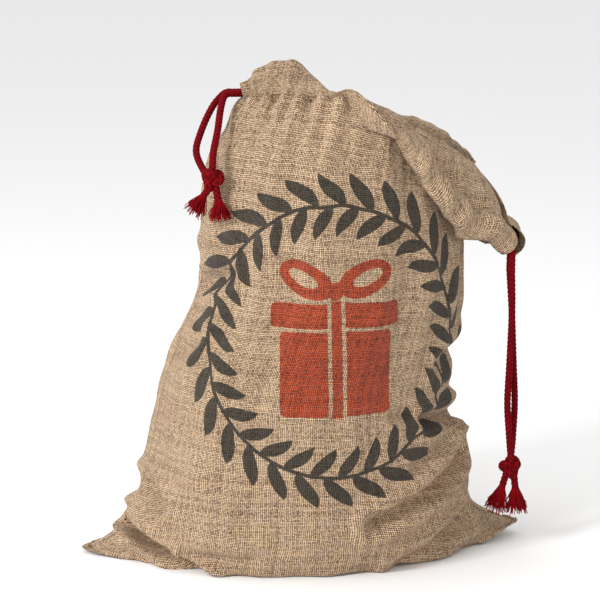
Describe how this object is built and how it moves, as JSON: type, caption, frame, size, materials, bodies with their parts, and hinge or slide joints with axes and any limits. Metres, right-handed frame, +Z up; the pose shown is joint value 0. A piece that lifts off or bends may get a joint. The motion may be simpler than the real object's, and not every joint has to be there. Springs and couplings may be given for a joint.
{
  "type": "fabric gift sack",
  "caption": "Standing drawstring gift sack in coarse linen, mouth turned down on one side, with red braided cords and knots.",
  "frame": {"origin": "on the floor, under the middle of the bottom seam", "axes": "+Z up, +X towards the side where the mouth is turned down, -Y out of the printed front"},
  "size_m": [0.4618, 0.2508, 0.5331],
  "materials": {
    "linen": "coarse slubby plain weave, matt",
    "linen_hem": "coarse slubby plain weave, matt, turned and gathered",
    "linen_seam": "coarse weave pressed into a seam",
    "red_cotton": "braided cotton cord, matt"
  },
  "bodies": {
    "sack": {"front_panel": "linen", "back_panel": "linen", "bottom_seam": "linen_seam", "left_side_seam": "linen_seam", "right_side_seam": "linen_seam", "front_collar_hem": "linen_hem", "back_collar_hem": "linen_hem", "front_cuff_hem": "linen_hem", "back_cuff_hem": "linen_hem", "left_cord_in_hem": "red_cotton", "right_cord_in_hem": "red_cotton"},
    "left_draw": {"left_lead_front": "red_cotton", "left_lead_back": "red_cotton"},
    "left_pull": {"left_strand_front": "red_cotton", "left_strand_back": "red_cotton", "left_knot": "red_cotton", "left_tail_outer": "red_cotton", "left_tail_inner": "red_cotton"},
    "right_draw": {"right_lead_front": "red_cotton", "right_lead_back": "red_cotton"},
    "right_pull": {"right_strand_front": "red_cotton", "right_strand_back": "red_cotton", "right_knot": "red_cotton", "right_tail_outer": "red_cotton", "right_tail_inner": "red_cotton"}
  },
  "joints": [
    {"name": "left_draw_slide", "type": "slide", "parent": "sack", "child": "left_draw", "axis": [-1, 0, 0], "range_m": [0, 0.015]},
    {"name": "left_pull_swing", "type": "hinge", "parent": "left_draw", "child": "left_pull", "pos_m": [-0.0695, 0, 0.4952], "axis": [0, 1, 0], "range_deg": [0, 55]},
    {"name": "right_draw_slide", "type": "slide", "parent": "sack", "child": "right_draw", "axis": [0, 0, -1], "range_m": [0, 0.015]},
    {"name": "right_pull_swing", "type": "hinge", "parent": "right_draw", "child": "right_pull", "pos_m": [0.2233, -0.0485, 0.3082], "axis": [0, -1, 0], "range_deg": [-3, 55]}
  ]
}
